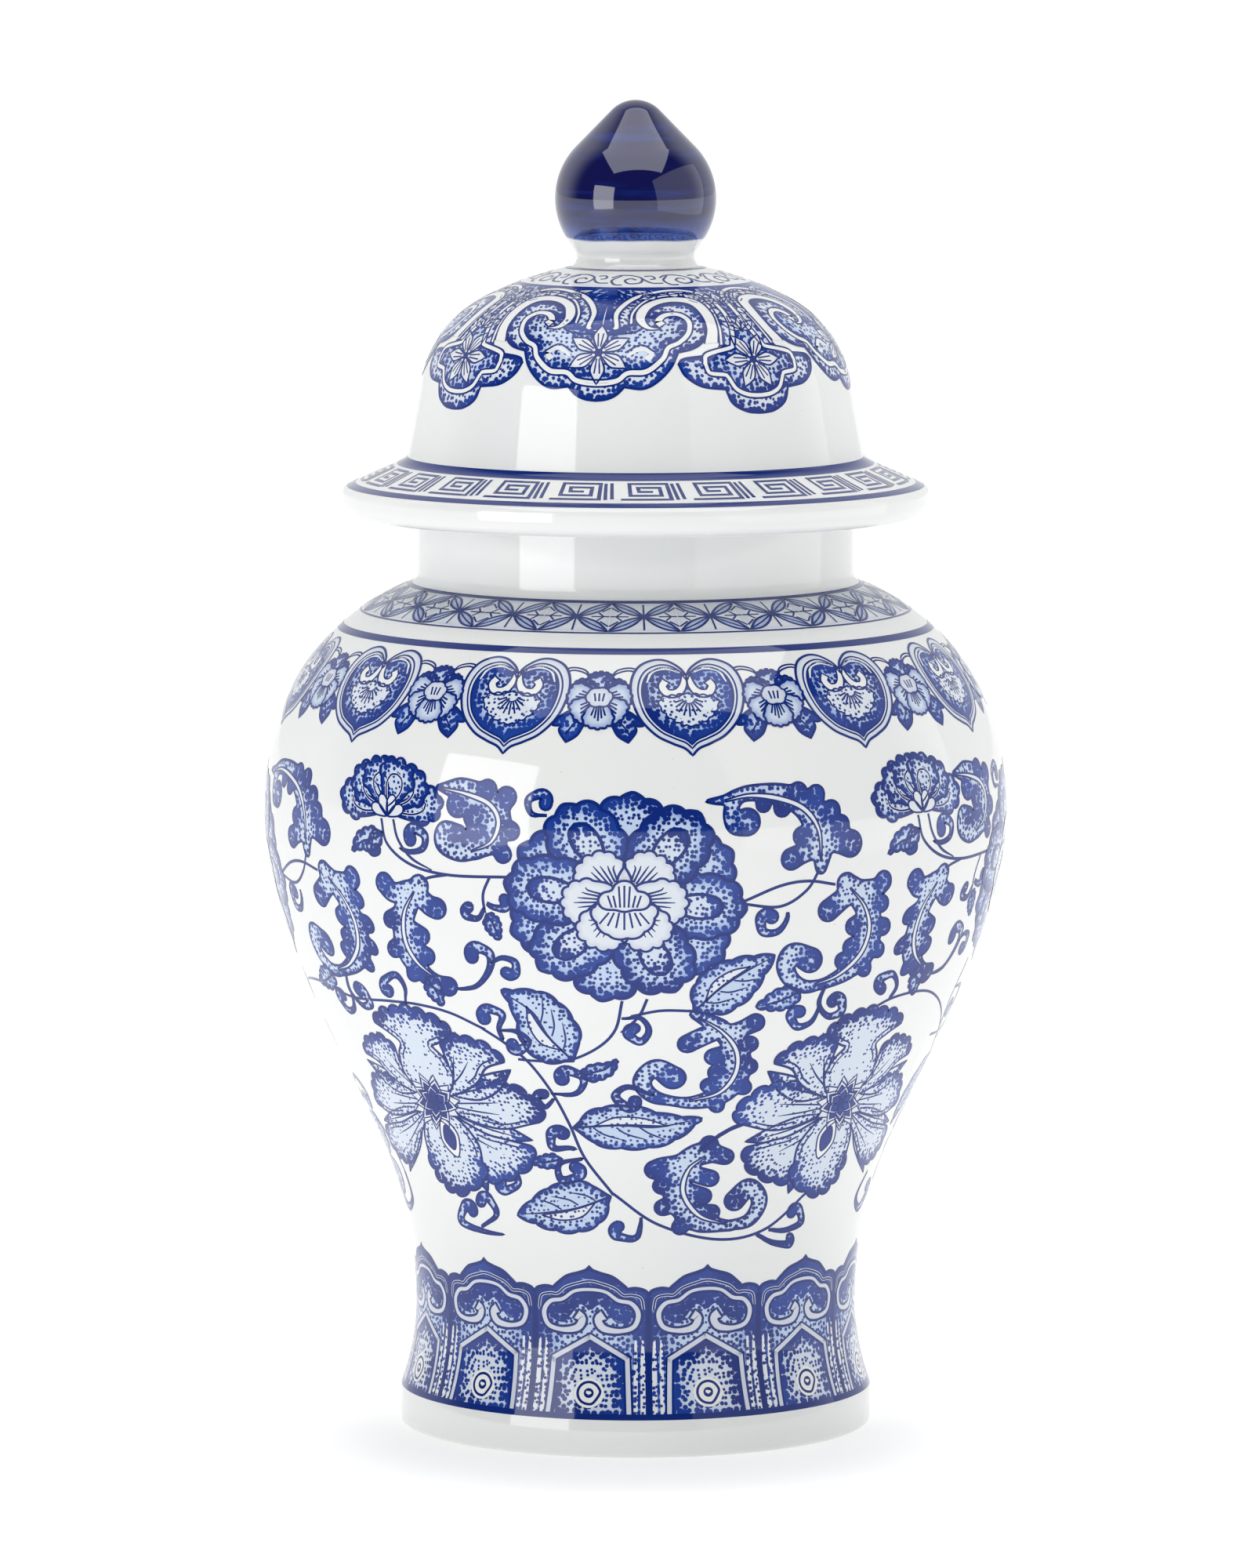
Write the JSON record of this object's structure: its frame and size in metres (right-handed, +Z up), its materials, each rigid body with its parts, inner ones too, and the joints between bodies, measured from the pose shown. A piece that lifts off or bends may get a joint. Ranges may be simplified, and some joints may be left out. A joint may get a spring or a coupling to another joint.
{
  "type": "ginger jar",
  "caption": "Lidded porcelain storage jar, baluster body on a foot ring, blue painted decoration, domed lid with a sloping brim, locating ring and onion-shaped knob",
  "frame": {"origin": "centre of the foot, on the plane that the foot ring stands on", "axes": "+Z is up, along the axis of revolution; +X is to the right and -Y to the front, where the large peony is painted"},
  "size_m": [0.171, 0.171, 0.305],
  "materials": {
    "painted_porcelain": "white porcelain under a high-gloss clear glaze, painted in cobalt blue below the glaze",
    "bare_porcelain": "fired porcelain with no glaze where pieces rest on each other, matt and slightly warm",
    "cobalt_glaze": "very dark cobalt blue under a high-gloss clear glaze"
  },
  "bodies": {
    "jar": {"jar_body": "painted_porcelain"},
    "lid": {"lid_shell": "painted_porcelain", "lid_locating_ring": "bare_porcelain", "lid_knob": "cobalt_glaze"}
  },
  "joints": [
    {"name": "lid_lift", "type": "slide", "parent": "jar", "child": "lid", "axis": [0, 0, 1], "range_m": [0, 0.1]}
  ]
}
